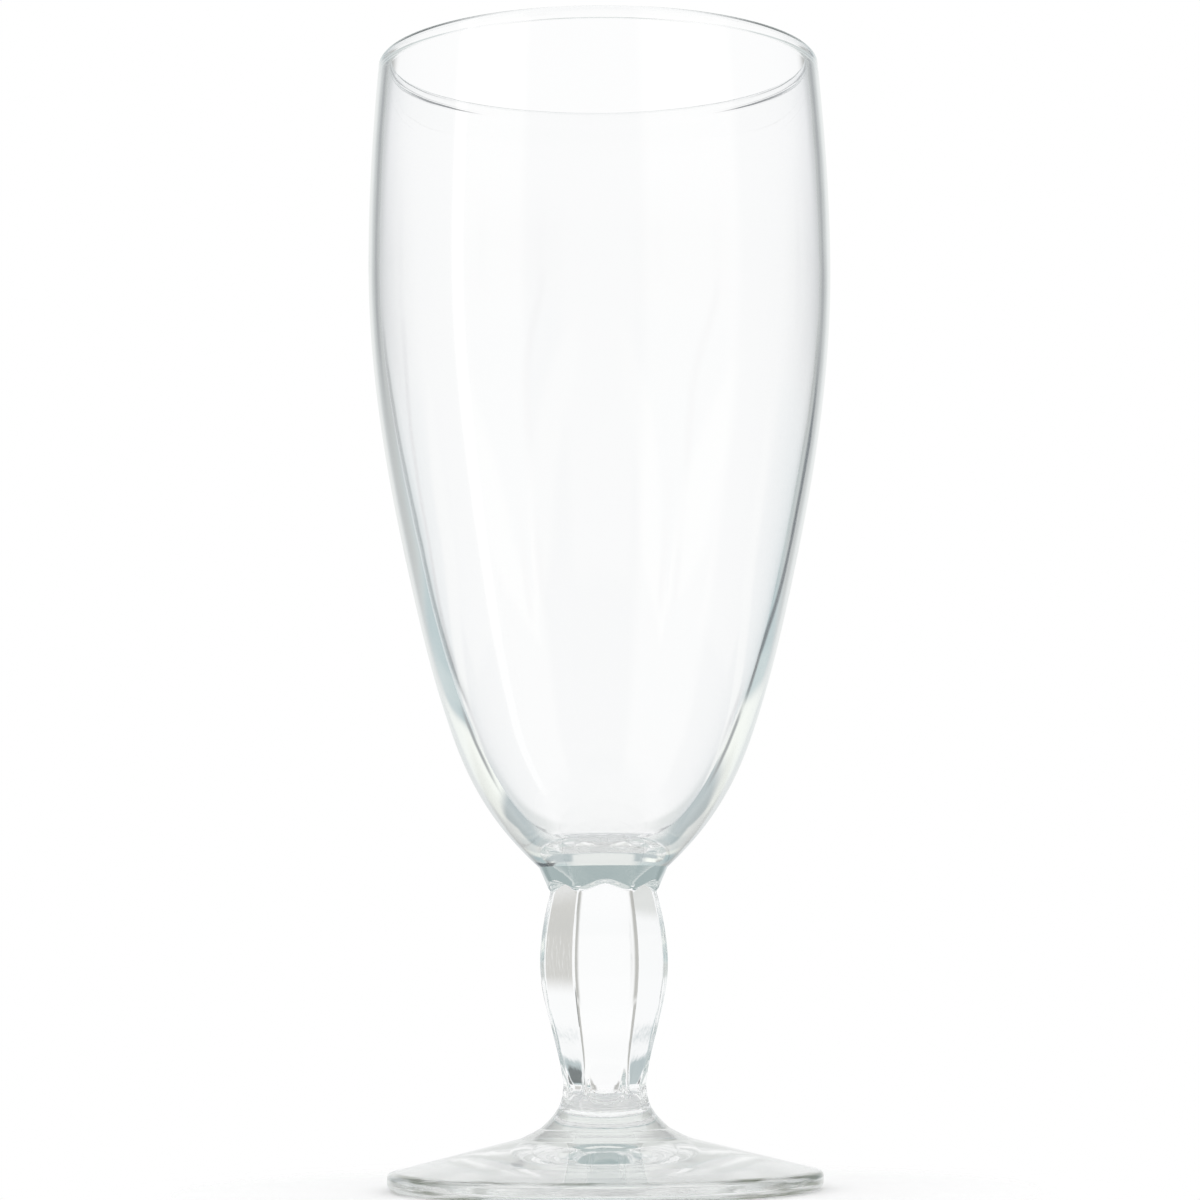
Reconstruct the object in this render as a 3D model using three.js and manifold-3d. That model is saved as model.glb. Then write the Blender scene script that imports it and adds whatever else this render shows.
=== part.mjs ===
// Footed beer glass: a slim blown bowl on a six-panel pressed stem and a conical pressed foot.
// The three pieces are clear glass, welded hot face to face along one axis.
// Millimetres, +Z up, origin in the middle of the plane that the foot rests on.
import * as THREE from 'three';
import { mergeVertices } from 'three/addons/utils/BufferGeometryUtils.js';
import Module from 'manifold-3d';

// Foot: heights are above the resting plane.
const FOOT_DIAMETER = 69.8;
const FOOT_HEIGHT = 9.7;
const FOOT_EDGE_THICKNESS = 2.6;
const FOOT_REST_RING_WIDTH = 7.0;
const FOOT_HOLLOW_DEPTH = 1.6;
const FOOT_COVE_WIDTH = 3.6;
const FOOT_COVE_DROP = 1.75;

// Stem: heights are above its weld with the foot.
const STEM_LENGTH = 41.7;
const STEM_WELD_DIAMETER = 20.8;
const STEM_WELD_SLOPE = -1.0;
const WAIST_DIAMETER = 13.5;
const WAIST_HEIGHT = 7.3;
const WAIST_SLOPE = 0.12;
const BALUSTER_DIAMETER = 20.8;
const BALUSTER_HEIGHT = 26.3;
const NECK_DIAMETER = 17.3;
const NECK_SLOPE = -0.27;
const COLLAR_DIAMETER = 20.8;
const COLLAR_HEIGHT = 4.0;

// Panels pressed into the stem, one of them facing the front.
const PANEL_COUNT = 6;
const RIB_WIDTH = 0.6;
const PANEL_ARCH_RISE = 1.8;
const PANEL_RUNOUT_DROP = 4.2;

// Bowl: heights are above its weld with the stem.
const BOWL_HEIGHT = 132.6;
const BOWL_WELD_SLOPE = 1.1;
const SHOULDER_DIAMETER = 48.0;
const SHOULDER_HEIGHT = 20.5;
const SHOULDER_SLOPE = 0.36;
const FLANK_DIAMETER = 64.3;
const FLANK_HEIGHT = 51.3;
const FLANK_SLOPE = 0.215;
const BELLY_DIAMETER = 75.8;
const BELLY_HEIGHT = 98.6;
const RIM_DIAMETER = 72.5;
const RIM_SLOPE = -0.09;
const RIM_WALL = 1.7;
const BELLY_WALL = 1.8;
const FLANK_WALL = 2.5;
const SHOULDER_WALL = 3.5;
const SHOULDER_INNER_SLOPE = 0.45;
const FLOOR_DIAMETER = 12.0;
const FLOOR_THICKNESS = 4.0;

// How far the corner inside the base follows the wall and the floor before it turns, as shares of its size.
const CORNER_WALL_EASE = 0.55;
const CORNER_FLOOR_EASE = 0.31;

// Facets of the round surfaces.
const ROUND_SEGMENTS = 60;
const CURVE_STEPS = 5;

const clearGlass = new THREE.MeshStandardMaterial({
  name: 'clear_glass',
  color: 0xe6edeb,
  roughness: 0.04,
  metalness: 0,
});

const wasm = await Module();
wasm.setup();

/** Carries a profile on to a station with a cubic that keeps the slope, radius over height, at both ends. */
function sweepTo(path, slope, station) {
  const { x: radius, y: height } = path.currentPoint;
  const third = (station.height - height) / 3;
  path.bezierCurveTo(
    radius + slope * third,
    height + third,
    station.radius - station.slope * third,
    station.height - third,
    station.radius,
    station.height,
  );
}

/** Revolves a profile of radius and height round the upright axis. */
function revolve(path) {
  return new THREE.LatheGeometry(path.getPoints(CURVE_STEPS), ROUND_SEGMENTS).rotateX(Math.PI / 2);
}

/** A solid for cutting, from a closed geometry, without the triangles that collapse on the axis. */
function toSolid(geometry) {
  const bare = geometry.clone();
  bare.deleteAttribute('normal');
  bare.deleteAttribute('uv');
  const merged = mergeVertices(bare);
  const corners = merged.index.array;
  const kept = [];
  for (let i = 0; i < corners.length; i += 3) {
    const [a, b, c] = corners.slice(i, i + 3);
    if (a !== b && b !== c && c !== a) kept.push(a, b, c);
  }
  return new wasm.Manifold(new wasm.Mesh({
    numProp: 3,
    vertProperties: new Float32Array(merged.attributes.position.array),
    triVerts: new Uint32Array(kept),
  }));
}

/** A geometry from a finished solid. */
function toGeometry(solid) {
  const { vertProperties, triVerts } = solid.getMesh();
  const geometry = new THREE.BufferGeometry();
  geometry.setAttribute('position', new THREE.BufferAttribute(vertProperties, 3));
  geometry.setIndex(new THREE.BufferAttribute(triVerts, 1));
  geometry.computeVertexNormals();
  return geometry;
}

/** The foot: a hollow underside inside a flat resting ring, a round edge and a cone with a cove at the weld. */
function footGeometry() {
  const edgeRadius = FOOT_EDGE_THICKNESS / 2;
  const edgeCentre = FOOT_DIAMETER / 2 - edgeRadius;
  const coveRadius = STEM_WELD_DIAMETER / 2 + FOOT_COVE_WIDTH;
  const coveHeight = FOOT_HEIGHT - FOOT_COVE_DROP;
  const coneAngle = Math.atan2(coveHeight - FOOT_EDGE_THICKNESS, edgeCentre - coveRadius);
  const hollowRadius = edgeCentre - FOOT_REST_RING_WIDTH;
  // The cove turns where the cone, carried inwards, crosses the slope of the stem's flare.
  const flare = -STEM_WELD_SLOPE;
  const cone = Math.tan(coneAngle);
  const turn = (FOOT_COVE_DROP - FOOT_COVE_WIDTH * cone) / (1 / flare - cone);
  const profile = new THREE.Path()
    .moveTo(0, FOOT_HOLLOW_DEPTH)
    .quadraticCurveTo(hollowRadius / 2, FOOT_HOLLOW_DEPTH, hollowRadius, 0)
    .lineTo(edgeCentre, 0)
    .absarc(edgeCentre, edgeRadius, edgeRadius, -Math.PI / 2, Math.PI / 2 - coneAngle)
    .lineTo(coveRadius, coveHeight)
    .quadraticCurveTo(
      STEM_WELD_DIAMETER / 2 + turn,
      FOOT_HEIGHT - turn / flare,
      STEM_WELD_DIAMETER / 2,
      FOOT_HEIGHT,
    )
    .lineTo(0, FOOT_HEIGHT);
  return revolve(profile);
}

/** Waist, baluster and neck of the stem, with every radius times a share. */
function stemStations(share) {
  return [
    { radius: share * WAIST_DIAMETER / 2, height: WAIST_HEIGHT, slope: share * WAIST_SLOPE },
    { radius: share * BALUSTER_DIAMETER / 2, height: BALUSTER_HEIGHT, slope: 0 },
    { radius: share * NECK_DIAMETER / 2, height: STEM_LENGTH - COLLAR_HEIGHT, slope: share * NECK_SLOPE },
  ];
}

/** One panel's cutter: it hollows the baluster flat, runs up into the collar and runs out on the flare. */
function panelCutter() {
  const halfAngle = Math.PI / PANEL_COUNT - RIB_WIDTH / BALUSTER_DIAMETER;
  const share = Math.cos(halfAngle);
  const [waist, baluster, neck] = stemStations(share);
  const reach = BALUSTER_DIAMETER + COLLAR_DIAMETER + STEM_WELD_DIAMETER;
  const collarTaper = (COLLAR_DIAMETER - NECK_DIAMETER) / 2 / COLLAR_HEIGHT;
  const archRadius = NECK_DIAMETER / 2 + PANEL_ARCH_RISE * collarTaper;
  const archHeight = neck.height + PANEL_ARCH_RISE;
  const runoutHeight = WAIST_HEIGHT - PANEL_RUNOUT_DROP;
  const flare = new THREE.Path().moveTo(STEM_WELD_DIAMETER / 2, 0);
  sweepTo(flare, STEM_WELD_SLOPE, stemStations(1)[0]);
  const runoutRadius = flare.curves[0].getPoint(runoutHeight / WAIST_HEIGHT).x;
  const outline = new THREE.Shape();
  outline.moveTo(reach, runoutHeight);
  outline.lineTo(runoutRadius, runoutHeight);
  sweepTo(outline, (waist.radius - runoutRadius) / PANEL_RUNOUT_DROP, waist);
  sweepTo(outline, waist.slope, baluster);
  sweepTo(outline, baluster.slope, neck);
  outline.lineTo(archRadius, archHeight);
  outline.lineTo(reach, archHeight);
  const cutter = new THREE.ExtrudeGeometry(outline, {
    depth: reach,
    steps: 1,
    curveSegments: CURVE_STEPS,
    bevelEnabled: false,
  });
  return cutter.rotateX(Math.PI / 2).translate(0, reach / 2, 0);
}

/** The stem: a turned baluster under a conical collar, with flat panels and narrow round ribs between them. */
function stemGeometry() {
  const [waist, baluster, neck] = stemStations(1);
  const profile = new THREE.Path().moveTo(0, 0).lineTo(STEM_WELD_DIAMETER / 2, 0);
  sweepTo(profile, STEM_WELD_SLOPE, waist);
  sweepTo(profile, waist.slope, baluster);
  sweepTo(profile, baluster.slope, neck);
  profile.lineTo(COLLAR_DIAMETER / 2, STEM_LENGTH).lineTo(0, STEM_LENGTH);
  let stem = toSolid(revolve(profile));
  for (let panel = 0; panel < PANEL_COUNT; panel += 1) {
    const facing = -Math.PI / 2 + (panel * 2 * Math.PI) / PANEL_COUNT;
    stem = stem.subtract(toSolid(panelCutter().rotateZ(facing)));
  }
  return toGeometry(stem);
}

/** The bowl's shoulder, flank and belly, each drawn in by the wall there. */
function bowlStations(shoulderWall, shoulderSlope, flankWall, bellyWall) {
  return [
    { radius: SHOULDER_DIAMETER / 2 - shoulderWall, height: SHOULDER_HEIGHT, slope: shoulderSlope },
    { radius: FLANK_DIAMETER / 2 - flankWall, height: FLANK_HEIGHT, slope: FLANK_SLOPE },
    { radius: BELLY_DIAMETER / 2 - bellyWall, height: BELLY_HEIGHT, slope: 0 },
  ];
}

/** The bowl: a slim tulip wall that thins towards a fire-polished rim, on a thick round-cornered base. */
function bowlGeometry() {
  const rimRound = RIM_WALL / 2;
  const rim = { radius: RIM_DIAMETER / 2, height: BOWL_HEIGHT - rimRound, slope: RIM_SLOPE };
  const [shoulder, flank, belly] = bowlStations(0, SHOULDER_SLOPE, 0, 0);
  const [innerShoulder, innerFlank, innerBelly] = bowlStations(
    SHOULDER_WALL,
    SHOULDER_INNER_SLOPE,
    FLANK_WALL,
    BELLY_WALL,
  );
  const profile = new THREE.Path().moveTo(0, 0).lineTo(COLLAR_DIAMETER / 2, 0);
  sweepTo(profile, BOWL_WELD_SLOPE, shoulder);
  sweepTo(profile, shoulder.slope, flank);
  sweepTo(profile, flank.slope, belly);
  sweepTo(profile, belly.slope, rim);
  profile.absarc(rim.radius - rimRound, rim.height, rimRound, 0, Math.PI);
  sweepTo(profile, rim.slope, innerBelly);
  sweepTo(profile, innerBelly.slope, innerFlank);
  sweepTo(profile, innerFlank.slope, innerShoulder);
  const floorRadius = FLOOR_DIAMETER / 2;
  const wallEase = CORNER_WALL_EASE * (SHOULDER_HEIGHT - FLOOR_THICKNESS);
  const floorEase = CORNER_FLOOR_EASE * (innerShoulder.radius - floorRadius);
  profile
    .bezierCurveTo(
      innerShoulder.radius - innerShoulder.slope * wallEase,
      SHOULDER_HEIGHT - wallEase,
      floorRadius + floorEase,
      FLOOR_THICKNESS,
      floorRadius,
      FLOOR_THICKNESS,
    )
    .lineTo(0, FLOOR_THICKNESS);
  return revolve(profile);
}

/** A named piece of clear glass, raised to its weld. */
function piece(name, geometry, height) {
  const mesh = new THREE.Mesh(geometry, clearGlass);
  mesh.name = name;
  mesh.position.z = height;
  return mesh;
}

const glass = new THREE.Group();
glass.name = 'footed_glass';
glass.add(piece('foot', footGeometry(), 0));
glass.add(piece('stem', stemGeometry(), FOOT_HEIGHT));
glass.add(piece('bowl', bowlGeometry(), FOOT_HEIGHT + STEM_LENGTH));

export default glass;
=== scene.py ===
"""The footed glass in Blender: a blown bowl, a panelled stem and a foot, of clear glass, in a pale studio.

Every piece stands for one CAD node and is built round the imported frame. Sizes are in metres.
"""

import logging
import math
from bisect import bisect_left
from dataclasses import dataclass, field, fields
from enum import Enum, IntEnum
from typing import Any, Optional, Union

import bmesh
import bpy
from mathutils import Matrix, Vector


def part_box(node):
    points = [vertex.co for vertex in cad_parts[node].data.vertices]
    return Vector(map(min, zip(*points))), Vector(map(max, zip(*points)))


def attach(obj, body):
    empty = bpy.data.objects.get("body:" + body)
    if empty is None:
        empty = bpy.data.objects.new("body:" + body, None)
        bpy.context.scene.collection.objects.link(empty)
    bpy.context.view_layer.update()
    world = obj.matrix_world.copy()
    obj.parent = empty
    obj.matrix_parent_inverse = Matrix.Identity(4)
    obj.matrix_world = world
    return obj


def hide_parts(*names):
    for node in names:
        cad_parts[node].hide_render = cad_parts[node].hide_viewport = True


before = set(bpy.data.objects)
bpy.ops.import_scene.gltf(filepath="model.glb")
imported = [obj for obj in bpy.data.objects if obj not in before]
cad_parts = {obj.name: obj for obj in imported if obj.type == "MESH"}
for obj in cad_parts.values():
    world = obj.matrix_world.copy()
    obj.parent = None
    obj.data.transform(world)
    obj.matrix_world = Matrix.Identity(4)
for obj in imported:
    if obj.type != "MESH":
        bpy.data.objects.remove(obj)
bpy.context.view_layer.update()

LOG = logging.getLogger("footed_glass")
MM = 0.001
MERGE_DISTANCE = 1e-6
SHARP_ANGLE = math.radians(32)
FRONT = -math.pi / 2
DOWNWARD = -math.pi / 2
UPWARD = math.pi / 2
LEAST_CURVE_STEPS = 3
LEAST_ARC_STEPS = 8
QUARTER_TURN = 90.0

Colour = tuple[float, float, float, float]
Point = tuple[float, float]
Limits = tuple[float, float]

WHITE: Colour = (1, 1, 1, 1)
LAMP: Colour = (1.30, 1.30, 1.28, 1)
RIB: Colour = (0.47, 0.47, 0.45, 1)
CEILING: Colour = (0.38, 0.455, 0.455, 1)
DARK: Colour = (0.20, 0.21, 0.22, 1)
BLACK: Colour = (0.07, 0.08, 0.08, 1)


def top_of(node: str) -> float:
    """Height of a CAD node's highest point."""
    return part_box(node)[1].z


def foot_of(node: str) -> float:
    """Height of a CAD node's lowest point."""
    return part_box(node)[0].z


def reach_of(node: str) -> float:
    """Radius of a CAD node's widest ring."""
    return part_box(node)[1].x


def clamp(number: float) -> float:
    """A number held between 0 and 1."""
    return min(max(number, 0), 1)


def between(start: Point, end: Point, share: float) -> Point:
    """The point at a share of the way from one point to another."""
    return start[0] + share * (end[0] - start[0]), start[1] + share * (end[1] - start[1])


@dataclass(frozen=True)
class Span:
    """A stretch of a scale with soft ends, which is open on a side without a limit.

    Attributes:
        start: The lower limit.
        end: The upper limit.
        soft: Half the width of a soft end.
        end_soft: The same at the upper limit, where it differs.
    """

    start: float = -math.inf
    end: float = math.inf
    soft: float = 1.0
    end_soft: Optional[float] = None


class Value:
    """A number socket of a node graph, on which sums are written as plain arithmetic."""

    def __init__(self, graph: "Graph", socket: bpy.types.NodeSocket) -> None:
        """Wraps a socket of a graph."""
        self.graph = graph
        self.socket = socket

    def __add__(self, other: "Number") -> "Value":
        """The sum of two numbers."""
        return self.graph.maths("ADD", self, other)

    def __radd__(self, other: "Number") -> "Value":
        """The sum of two numbers."""
        return self.graph.maths("ADD", other, self)

    def __sub__(self, other: "Number") -> "Value":
        """This number less another."""
        return self.graph.maths("SUBTRACT", self, other)

    def __rsub__(self, other: "Number") -> "Value":
        """Another number less this one."""
        return self.graph.maths("SUBTRACT", other, self)

    def __mul__(self, other: "Number") -> "Value":
        """The product of two numbers."""
        return self.graph.maths("MULTIPLY", self, other)

    def __rmul__(self, other: "Number") -> "Value":
        """The product of two numbers."""
        return self.graph.maths("MULTIPLY", other, self)


Number = Union[float, Value]


class Graph:
    """A node tree that is filled through one method."""

    def __init__(self, tree: bpy.types.NodeTree) -> None:
        """Empties a tree and holds it."""
        self.tree = tree
        self.tree.nodes.clear()

    def node(
        self,
        kind: str,
        settings: Optional[dict[str, Any]] = None,
        inputs: Optional[dict[Union[str, int], Any]] = None,
    ) -> bpy.types.Node:
        """Makes one node.

        Args:
            kind: The node's type.
            settings: Properties of the node, which are set first.
            inputs: Values or links of its sockets, by name or place.

        Returns:
            The new node.
        """
        node = self.tree.nodes.new(kind)
        for name, setting in (settings or {}).items():
            setattr(node, name, setting)
        for key, given in (inputs or {}).items():
            source = given.socket if isinstance(given, Value) else given
            if isinstance(source, bpy.types.NodeSocket):
                self.tree.links.new(source, node.inputs[key])
            else:
                node.inputs[key].default_value = source
        return node

    def value(self, node: bpy.types.Node, name: Union[str, int]) -> Value:
        """An output of a node as a number."""
        return Value(self, node.outputs[name])

    def maths(self, operation: str, *numbers: Number) -> Value:
        """A Math node on one or more numbers.

        Args:
            operation: The node's operation.
            numbers: Plain numbers or sockets, in order.

        Returns:
            The result as a number.
        """
        return self.value(self.node("ShaderNodeMath", {"operation": operation}, dict(enumerate(numbers))), 0)

    def ramp(self, number: Number, start: float, end: float) -> Value:
        """A smooth step from 0 at start to 1 at end.

        Args:
            number: What is ramped.
            start: Where the step begins.
            end: Where the step is complete.

        Returns:
            The share, from 0 to 1.
        """
        limits = {"Value": number, "From Min": start, "From Max": end}
        return self.value(self.node("ShaderNodeMapRange", {"interpolation_type": "SMOOTHSTEP"}, limits), 0)

    def band(self, number: Number, span: Span) -> Value:
        """A smooth mask that is 1 within a span.

        Args:
            number: What is masked.
            span: The span, with one limit at least.

        Returns:
            The mask, from 0 to 1.
        """
        ends = []
        if span.start > -math.inf:
            ends.append(self.ramp(number, span.start - span.soft, span.start + span.soft))
        if span.end < math.inf:
            soft = span.soft if span.end_soft is None else span.end_soft
            ends.append(1 - self.ramp(number, span.end - soft, span.end + soft))
        return math.prod(ends[1:], start=ends[0])

    def noise(self, place: bpy.types.NodeSocket, size: float, detail: float) -> Value:
        """A soft random pattern.

        Args:
            place: The coordinates that it follows.
            size: The size of its largest waves.
            detail: How many finer waves are added.

        Returns:
            The pattern, from 0 to 1.
        """
        waves = {"Vector": place, "Scale": 1 / size, "Detail": detail}
        return self.value(self.node("ShaderNodeTexNoise", inputs=waves), 0)

    def stretch(
        self, place: bpy.types.NodeSocket, scale: tuple[float, float, float]
    ) -> bpy.types.NodeSocket:
        """Coordinates times a scale along each axis.

        Args:
            place: The coordinates.
            scale: The scale along X, Y and Z.

        Returns:
            The new coordinates' socket.
        """
        return self.node("ShaderNodeVectorMath", {"operation": "MULTIPLY"}, {0: place, 1: scale}).outputs[0]

    def length(self, place: bpy.types.NodeSocket) -> Value:
        """The distance of coordinates from their origin."""
        return self.value(self.node("ShaderNodeVectorMath", {"operation": "LENGTH"}, {0: place}), "Value")

    def mix(self, share: Number, first: Any, second: Any) -> bpy.types.NodeSocket:
        """A blend of two colours.

        Args:
            share: 0 gives the first colour, 1 the second.
            first: A colour or a socket.
            second: A colour or a socket.

        Returns:
            The blended colour's socket.
        """
        return self.node("ShaderNodeMix", {"data_type": "RGBA"}, {0: share, 6: first, 7: second}).outputs[2]


@dataclass(frozen=True)
class GlassFinish:
    """Clear glass of one piece.

    Attributes:
        name: The material's name.
        tint: Colour that a surface gives to the light that it lets through.
        ripple: Size of the ripples that the mould or the blowing leaves.
        ripple_depth: Height of those ripples.
        ripple_stretch: How many times taller than wide they are.
        ripple_detail: How many finer waves they carry.
        haze: Roughness of the dull patches.
        haze_size: Size of those patches.
        haze_detail: How many finer waves they carry.
        haze_limits: Where in the random pattern a patch begins and where it is full.
        wear: Roughness of the scratched part that stands on the table.
        wear_height: Height that the scratches reach, and their size.
        wear_detail: How many finer waves they carry.
        wear_limits: Where in the random pattern a scratch begins and where it is full.
        shade: Colour of the light that reaches the floor through one surface.
        ior: Refractive index.
        leak: Bounces after which light that is caught in the glass gets out.
    """

    name: str
    tint: Colour = (0.997, 0.998, 0.998, 1)
    ripple: float = 14 * MM
    ripple_depth: float = 0.02 * MM
    ripple_stretch: float = 1.0
    ripple_detail: float = 2.0
    haze: float = 0.01
    haze_size: float = 22 * MM
    haze_detail: float = 4.0
    haze_limits: Limits = (0.48, 0.72)
    wear: float = 0.0
    wear_height: float = 0.5 * MM
    wear_detail: float = 3.0
    wear_limits: Limits = (0.35, 0.6)
    shade: Colour = (0.96, 0.97, 0.97, 1)
    ior: float = 1.52
    leak: int = 14

    def colour(self, graph: Graph, place: bpy.types.NodeSocket) -> Any:
        """The tint of a surface, which is alike everywhere on clear glass."""
        return self.tint

    def material(self) -> bpy.types.Material:
        """Builds rippled glass, which shadow rays and trapped light pass straight.

        Returns:
            The material.
        """
        made = bpy.data.materials.new(self.name)
        made.use_nodes = True
        graph = Graph(made.node_tree)
        place = graph.node("ShaderNodeTexCoord").outputs["Object"]
        height = graph.value(graph.node("ShaderNodeSeparateXYZ", inputs={0: place}), "Z")
        drawn = graph.stretch(place, (1, 1, 1 / self.ripple_stretch))
        ripples = graph.noise(drawn, self.ripple, self.ripple_detail)
        patches = graph.ramp(graph.noise(place, self.haze_size, self.haze_detail), *self.haze_limits)
        scratches = graph.ramp(graph.noise(place, self.wear_height, self.wear_detail), *self.wear_limits)
        worn = scratches * (1 - graph.ramp(height, 0.0, self.wear_height))
        bump = graph.node(
            "ShaderNodeBump", inputs={"Strength": 1.0, "Distance": self.ripple_depth, "Height": ripples}
        )
        glass = graph.node(
            "ShaderNodeBsdfPrincipled",
            inputs={
                "Base Color": self.colour(graph, place),
                "Roughness": patches * self.haze + worn * self.wear,
                "IOR": self.ior,
                "Transmission Weight": 1.0,
                "Normal": bump.outputs[0],
            },
        )
        clear = graph.node("ShaderNodeBsdfTransparent", inputs={"Color": self.shade})
        path = graph.node("ShaderNodeLightPath")
        trapped = graph.maths("GREATER_THAN", graph.value(path, "Ray Depth"), self.leak)
        passed = graph.maths("MAXIMUM", graph.value(path, "Is Shadow Ray"), trapped)
        mixed = graph.node(
            "ShaderNodeMixShader", inputs={0: passed, 1: glass.outputs[0], 2: clear.outputs[0]}
        )
        graph.node("ShaderNodeOutputMaterial", inputs={"Surface": mixed.outputs[0]})
        return made


@dataclass(frozen=True)
class BowlFinish(GlassFinish):
    """Clear glass of the blown bowl, with long soft ripples."""

    name: str = "bowl_glass"


@dataclass(frozen=True)
class StemFinish(GlassFinish):
    """Clear glass of the pressed stem, with fine upright ripples."""

    name: str = "stem_glass"
    tint: Colour = (0.99, 0.995, 0.995, 1)
    ripple: float = 0.8 * MM
    ripple_depth: float = 0.011 * MM
    ripple_stretch: float = 2.5
    haze_size: float = 6 * MM


@dataclass(frozen=True)
class FootFinish(GlassFinish):
    """Clear glass of the pressed foot, whose thick edge is green where one looks along it.

    Attributes:
        edge_radius: Radius at which the edge begins.
        edge_soft: Width over which it begins.
        edge_tint: Its colour at the darkest streaks.
        edge_least: How much of that colour it has between them.
        edge_glance: How far the surface turns from the eye where the colour begins and where it is full.
        streak: Thickness of the streaks that run round it.
        streak_length: How many times longer than thick they are.
        streak_detail: How many finer waves they carry.
        streak_limits: Where in the random pattern a streak begins and where it is full.
    """

    name: str = "foot_glass"
    tint: Colour = (0.985, 0.992, 0.988, 1)
    ripple: float = 2.2 * MM
    ripple_depth: float = 0.012 * MM
    haze_size: float = 6 * MM
    wear: float = 0.25
    edge_radius: float = 33.4 * MM
    edge_soft: float = 0.4 * MM
    edge_tint: Colour = (0.10, 0.115, 0.08, 1)
    edge_least: float = 0.35
    edge_glance: Limits = (0.1, 0.5)
    streak: float = 0.7 * MM
    streak_length: float = 14.0
    streak_detail: float = 2.0
    streak_limits: Limits = (0.38, 0.62)

    def colour(self, graph: Graph, place: bpy.types.NodeSocket) -> Any:
        """The tint of a surface: clear, with green streaks along the edge.

        Args:
            graph: The material's graph.
            place: The object's coordinates.

        Returns:
            The colour's socket.
        """
        reach = graph.length(graph.stretch(place, (1, 1, 0)))
        edge = graph.ramp(reach, self.edge_radius, self.edge_radius + self.edge_soft)
        drawn = graph.stretch(place, (1 / self.streak_length, 1 / self.streak_length, 1))
        streaks = graph.ramp(graph.noise(drawn, self.streak, self.streak_detail), *self.streak_limits)
        grazing = graph.node("ShaderNodeLayerWeight")
        along = graph.ramp(graph.value(grazing, "Facing"), *self.edge_glance)
        green = self.edge_least + (1 - self.edge_least) * streaks
        return graph.mix(edge * along * green, self.tint, self.edge_tint)


@dataclass(frozen=True)
class WeldFinish:
    """A hot weld inside the glass, which can't be seen.

    Attributes:
        name: The material's name.
    """

    name: str = "weld"

    def material(self) -> bpy.types.Material:
        """Builds a surface that light passes without a change.

        Returns:
            The material.
        """
        made = bpy.data.materials.new(self.name)
        made.use_nodes = True
        graph = Graph(made.node_tree)
        unseen = graph.node("ShaderNodeBsdfPrincipled", inputs={"Alpha": 0.0})
        graph.node("ShaderNodeOutputMaterial", inputs={"Surface": unseen.outputs[0]})
        return made


class Skin(IntEnum):
    """Material slots of a glass piece."""

    GLASS = 0
    WELD = 1


@dataclass(frozen=True)
class Station:
    """A place on a turned outline.

    Attributes:
        radius: Distance from the axis.
        height: Height above the plane that the foot rests on.
        slope: Radius over height there.
    """

    radius: float
    height: float
    slope: float = 0.0


class Outline:
    """The half outline of a turned piece, as points of radius and height."""

    def __init__(self, radius: float, height: float, step: float) -> None:
        """Starts at a point, with the longest step along a curve."""
        self.points: list[Point] = [(radius, height)]
        self.step = step

    def line_to(self, radius: float, height: float) -> None:
        """Goes straight to a point, in one step."""
        self.points.append((radius, height))

    def run_to(self, end: Point) -> None:
        """Goes straight to a point, in short steps."""
        start = self.points[-1]
        self.bezier_to(between(start, end, 1 / 3), between(start, end, 2 / 3), end)

    def round_to(self, corner: Point, end: Point) -> None:
        """Goes to a point along a curve that a corner draws out."""
        self.bezier_to(between(self.points[-1], corner, 2 / 3), between(end, corner, 2 / 3), end)

    def bezier_to(self, first: Point, second: Point, end: Point) -> None:
        """Goes along a cubic curve.

        Args:
            first: The handle of the start.
            second: The handle of the end.
            end: Where the curve ends.
        """
        start = self.points[-1]
        corners = (start, first, second, end)
        length = sum(math.dist(a, b) for a, b in zip(corners, corners[1:]))
        count = max(LEAST_CURVE_STEPS, math.ceil(length / self.step))
        for index in range(1, count + 1):
            t = index / count
            weights = ((1 - t) ** 3, 3 * t * (1 - t) ** 2, 3 * t * t * (1 - t), t**3)
            radius = sum(w * c[0] for w, c in zip(weights, corners))
            height = sum(w * c[1] for w, c in zip(weights, corners))
            self.points.append((radius, height))

    def sweep_to(self, slope: float, station: Station) -> None:
        """Goes to a station along a cubic that keeps the slope at both ends.

        Args:
            slope: Radius over height at the start.
            station: Where the curve ends.
        """
        radius, height = self.points[-1]
        third = (station.height - height) / 3
        self.bezier_to(
            (radius + slope * third, height + third),
            (station.radius - station.slope * third, station.height - third),
            (station.radius, station.height),
        )

    def arc(self, centre: Point, radius: float, start: float, end: float) -> None:
        """Goes round a circle.

        Args:
            centre: The circle's middle.
            radius: The circle's radius.
            start: The angle of the first point, from the outward direction.
            end: The angle of the last point.
        """
        count = max(LEAST_ARC_STEPS, math.ceil(abs(end - start) * radius / self.step))
        for index in range(1, count + 1):
            angle = start + (end - start) * index / count
            self.points.append((centre[0] + radius * math.cos(angle), centre[1] + radius * math.sin(angle)))


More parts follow.
